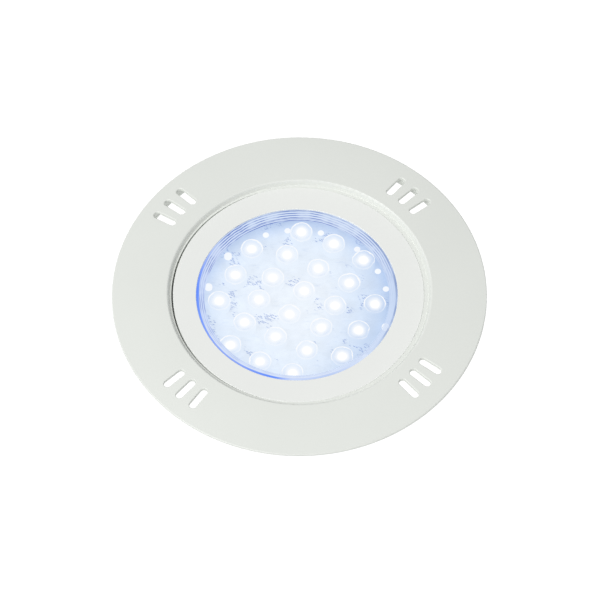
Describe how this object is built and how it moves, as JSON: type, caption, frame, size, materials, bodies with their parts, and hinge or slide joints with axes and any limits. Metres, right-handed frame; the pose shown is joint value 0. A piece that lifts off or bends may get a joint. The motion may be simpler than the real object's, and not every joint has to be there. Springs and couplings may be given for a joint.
{
  "type": "underwater pool light",
  "caption": "Flat round white underwater pool light with a slotted face ring, a clear stepped lens over an LED board, and a bayonet wall bracket.",
  "frame": {"origin": "bottom centre: on the main axis, in the plane of the wall bracket's back face", "axes": "+Z out of the lit face along the main axis; +Y towards the cable gland; +X to the right when the lit face is seen with +Y up"},
  "size_m": [0.27, 0.27, 0.0587],
  "materials": {
    "white_abs": "fine satin, UV stable",
    "bezel_abs": "fine satin",
    "housing_abs": "fine spark texture",
    "bracket_abs": "fine spark texture",
    "clear_polycarbonate": "polished",
    "collimator_pmma": "polished",
    "holder_white": "gloss",
    "led_phosphor": "lit",
    "board_white": "white solder mask",
    "board_green": "green solder mask",
    "aluminium_plate": "rolled",
    "grey_silicone_pad": "matte",
    "clear_silicone": "matte",
    "black_rubber": "matte",
    "stainless": "passivated",
    "nylon_peg": "gloss",
    "gland_nylon": "light grey nylon",
    "black_epoxy": "moulded",
    "capacitor_sleeve": "shrink sleeve",
    "terminal_green": "gloss",
    "plated_brass": "nickel plated",
    "lead_red": "silicone insulation",
    "lead_black": "silicone insulation"
  },
  "bodies": {
    "bracket": {"wall_bracket": "bracket_abs"},
    "lamp": {"rear_housing": "housing_abs", "lamp_bezel": "bezel_abs", "bezel_screws": "stainless", "housing_o_ring": "black_rubber", "lens": "clear_polycarbonate", "lens_gasket": "clear_silicone", "heat_spreader": "aluminium_plate", "thermal_pad": "grey_silicone_pad", "led_board": "board_white", "led_emitters": "led_phosphor", "collimator_lenses": "collimator_pmma", "collimator_holders": "holder_white", "board_pegs": "nylon_peg", "board_screws": "stainless", "driver_board": "board_green", "driver_screws": "stainless", "capacitors": "capacitor_sleeve", "power_inductors": "black_epoxy", "bridge_rectifier": "black_epoxy", "driver_chips": "black_epoxy", "terminal_block": "terminal_green", "terminal_screws": "plated_brass", "lead_positive": "lead_red", "lead_negative": "lead_black", "gland_body": "gland_nylon", "gland_nut": "gland_nylon", "gland_seal": "black_rubber", "gland_o_ring": "black_rubber"},
    "face": {"face_ring": "white_abs", "ring_clips": "stainless"}
  },
  "joints": [
    {"name": "twist_lock", "type": "hinge", "parent": "bracket", "child": "lamp", "pos_m": [0, 0, 0.013], "axis": [0, 0, 1], "range_deg": [0, 26]},
    {"name": "face_ring_pull", "type": "slide", "parent": "lamp", "child": "face", "axis": [0, 0, 1], "range_m": [0, 0.04]}
  ]
}
